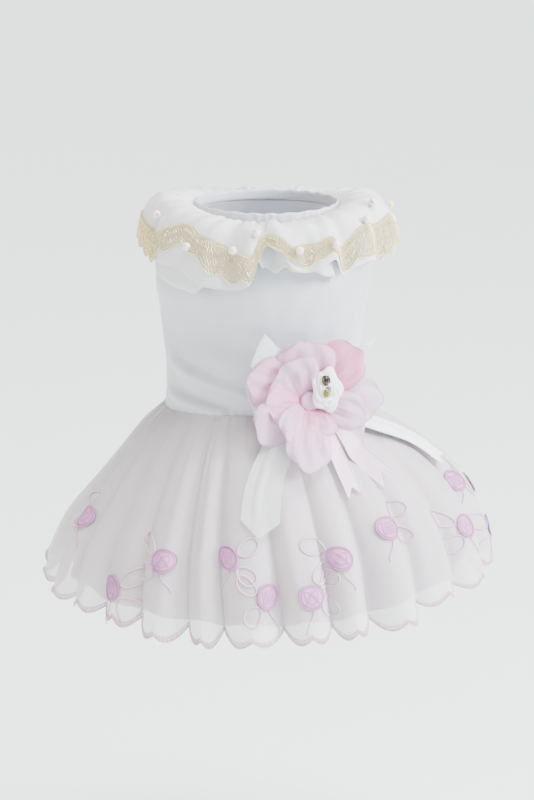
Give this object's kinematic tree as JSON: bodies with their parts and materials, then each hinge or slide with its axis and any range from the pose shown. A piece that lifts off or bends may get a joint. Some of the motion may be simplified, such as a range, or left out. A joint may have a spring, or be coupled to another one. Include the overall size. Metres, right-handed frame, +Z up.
{
  "type": "dog dress",
  "caption": "Pet party dress: satin bodice with neck and leg openings, lace-edged ruffle collar, gathered organza skirt over a lining, flower and ribbon bow at the waist",
  "frame": {"origin": "centre of the neck opening, at the top edge of the neck band's sides", "axes": "+Z up along the body from the waist to the neck, -Y the decorated side (the dog's back), +X to the right when looking at that side"},
  "size_m": [0.283, 0.2662, 0.2457],
  "materials": {
    "white_satin": "soft sheen",
    "white_organza": "sheer, crisp",
    "sheer_overlay": "sheer, matte",
    "lining_satin": "soft sheen",
    "gold_lace": "metallic thread",
    "pearl": "pearly gloss",
    "lilac_embroidery": "stitched satin",
    "pink_organza": "sheer, matte",
    "pale_pink_organza": "sheer, matte",
    "deep_pink_organza": "sheer, matte",
    "pink_satin": "soft sheen",
    "dark_crystal": "faceted, polished",
    "green_crystal": "faceted, polished"
  },
  "bodies": {
    "root": {"bodice": "white_satin", "neck_band": "white_satin", "white_bow_point": "white_satin", "white_tail_right": "white_satin", "rosette": "white_satin", "collar_ruffle": "white_organza", "collar_underlayer": "white_organza", "white_loop_upper": "white_organza", "white_loop_lower": "white_organza", "white_tail_left": "white_organza", "skirt_overlay": "sheer_overlay", "skirt_lining": "lining_satin", "collar_lace": "gold_lace", "pearl_01": "pearl", "pearl_02": "pearl", "pearl_03": "pearl", "pearl_04": "pearl", "pearl_05": "pearl", "pearl_06": "pearl", "pearl_07": "pearl", "pearl_08": "pearl", "pearl_09": "pearl", "pearl_10": "pearl", "pearl_11": "pearl", "pearl_12": "pearl", "dot_01": "lilac_embroidery", "dot_02": "lilac_embroidery", "dot_03": "lilac_embroidery", "dot_04": "lilac_embroidery", "dot_05": "lilac_embroidery", "dot_06": "lilac_embroidery", "dot_07": "lilac_embroidery", "dot_08": "lilac_embroidery", "dot_09": "lilac_embroidery", "dot_10": "lilac_embroidery", "dot_11": "lilac_embroidery", "dot_12": "lilac_embroidery", "dot_13": "lilac_embroidery", "dot_14": "lilac_embroidery", "dot_15": "lilac_embroidery", "dot_16": "lilac_embroidery", "dot_17": "lilac_embroidery", "dot_18": "lilac_embroidery", "dot_19": "lilac_embroidery", "dot_20": "lilac_embroidery", "petal_top": "pink_organza", "petal_left": "pink_organza", "petal_low_left": "pale_pink_organza", "petal_bottom": "pale_pink_organza", "petal_low_right": "pale_pink_organza", "petal_right": "pale_pink_organza", "petal_dark": "deep_pink_organza", "bow_core": "deep_pink_organza", "pink_tail_left": "pink_satin", "pink_tail_right": "pink_satin", "stone_dark": "dark_crystal", "stone_green": "green_crystal"}
  },
  "joints": []
}
